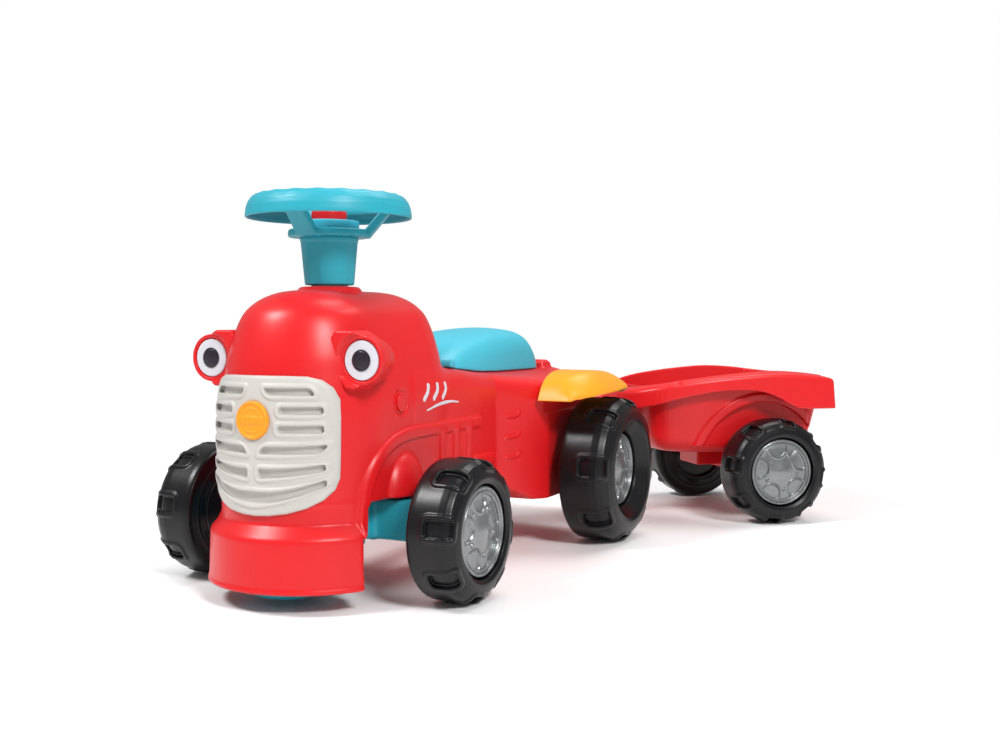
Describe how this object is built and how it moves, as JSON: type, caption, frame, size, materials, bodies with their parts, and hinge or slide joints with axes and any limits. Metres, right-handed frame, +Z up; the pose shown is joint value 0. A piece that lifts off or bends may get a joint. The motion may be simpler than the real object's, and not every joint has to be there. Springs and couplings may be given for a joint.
{
  "type": "ride-on toy tractor",
  "caption": "Moulded plastic ride-on toy tractor with turning handlebar wheel, press horn, lift-up seat over a storage bin, and a hitched tub trailer on free-rolling wheels.",
  "frame": {"origin": "middle of the whole footprint on the ground, with the trailer swung to its left as stored", "axes": "+Z up; -Y is the way the tractor drives; +X is the tractor's own left side"},
  "size_m": [0.5365, 0.8913, 0.368],
  "materials": {
    "red_plastic": "satin moulded polyethylene",
    "turquoise_plastic": "satin moulded",
    "pale_turquoise_plastic": "satin moulded",
    "yellow_plastic": "satin moulded",
    "grille_plastic": "satin moulded",
    "white_print": "printed disc",
    "black_plastic": "satin blow-moulded",
    "hubcap_plastic": "silver-grey pigmented",
    "steel": "zinc plated",
    "nylon": "natural",
    "soft_vinyl": "soft vinyl"
  },
  "bodies": {
    "tractor": {"body_shell": "red_plastic", "steering_bushes": "nylon", "front_grille": "grille_plastic", "grille_badge": "yellow_plastic", "lamp_housing_left": "red_plastic", "lamp_housing_right": "red_plastic", "lamp_disc_left": "white_print", "lamp_disc_right": "white_print", "side_plug_left": "red_plastic", "side_plug_right": "red_plastic", "rear_fender_left": "yellow_plastic", "rear_fender_right": "yellow_plastic", "rear_axle": "steel", "rear_axle_clips": "steel", "rear_axle_spacers": "nylon", "seat_hinge_pins": "steel", "hitch_pin": "red_plastic"},
    "seat": {"seat_lid": "pale_turquoise_plastic"},
    "steering": {"steering_shaft": "steel", "steering_column": "turquoise_plastic", "steering_wheel": "turquoise_plastic", "horn_cup": "pale_turquoise_plastic", "front_cradle": "turquoise_plastic", "shaft_lock_pin": "steel", "front_axle": "steel", "front_axle_clips": "steel"},
    "horn": {"horn_button": "red_plastic", "horn_bellows": "soft_vinyl"},
    "trailer": {"trailer_tub": "red_plastic", "trailer_axle_bracket": "red_plastic", "bracket_screws": "steel", "trailer_axle": "steel", "trailer_axle_clips": "steel"},
    "front_left_roller": {"front_left_wheel": "black_plastic", "front_left_hubcap": "hubcap_plastic"},
    "front_right_roller": {"front_right_wheel": "black_plastic", "front_right_hubcap": "hubcap_plastic"},
    "rear_left_roller": {"rear_left_wheel": "black_plastic", "rear_left_hubcap": "hubcap_plastic"},
    "rear_right_roller": {"rear_right_wheel": "black_plastic", "rear_right_hubcap": "hubcap_plastic"},
    "trailer_left_roller": {"trailer_left_wheel": "black_plastic", "trailer_left_hubcap": "hubcap_plastic"},
    "trailer_right_roller": {"trailer_right_wheel": "black_plastic", "trailer_right_hubcap": "hubcap_plastic"}
  },
  "joints": [
    {"name": "steering_turn", "type": "hinge", "parent": "tractor", "child": "steering", "pos_m": [-0.08725, -0.32166, 0.09], "axis": [0, 0, 1], "range_deg": [-22, 22]},
    {"name": "horn_press", "type": "slide", "parent": "steering", "child": "horn", "axis": [0, 0, -1], "range_m": [0, 0.004], "stiffness_N_per_m": 250, "springref_m": -0.003, "deforming": ["horn_bellows"]},
    {"name": "seat_open", "type": "hinge", "parent": "tractor", "child": "seat", "pos_m": [-0.08725, -0.19566, 0.206], "axis": [1, 0, 0], "range_deg": [0, 50]},
    {"name": "trailer_yaw", "type": "hinge", "parent": "tractor", "child": "trailer", "pos_m": [-0.08725, 0.10834, 0.145], "axis": [0, 0, 1], "range_deg": [-17, 112]},
    {"name": "front_left_spin", "type": "hinge", "parent": "steering", "child": "front_left_roller", "pos_m": [0.05475, -0.32166, 0.065], "axis": [1, 0, 0], "continuous": true},
    {"name": "front_right_spin", "type": "hinge", "parent": "steering", "child": "front_right_roller", "pos_m": [-0.22925, -0.32166, 0.065], "axis": [1, 0, 0], "continuous": true},
    {"name": "rear_left_spin", "type": "hinge", "parent": "tractor", "child": "rear_left_roller", "pos_m": [0.05775, 0.01074, 0.0823], "axis": [1, 0, 0], "continuous": true},
    {"name": "rear_right_spin", "type": "hinge", "parent": "tractor", "child": "rear_right_roller", "pos_m": [-0.23225, 0.01074, 0.0823], "axis": [1, 0, 0], "continuous": true},
    {"name": "trailer_left_spin", "type": "hinge", "parent": "trailer", "child": "trailer_left_roller", "pos_m": [0.2052, 0.20978, 0.065], "axis": [0.6704, -0.742, 0], "continuous": true},
    {"name": "trailer_right_spin", "type": "hinge", "parent": "trailer", "child": "trailer_right_roller", "pos_m": [0.04323, 0.38904, 0.065], "axis": [0.6704, -0.742, 0], "continuous": true}
  ]
}
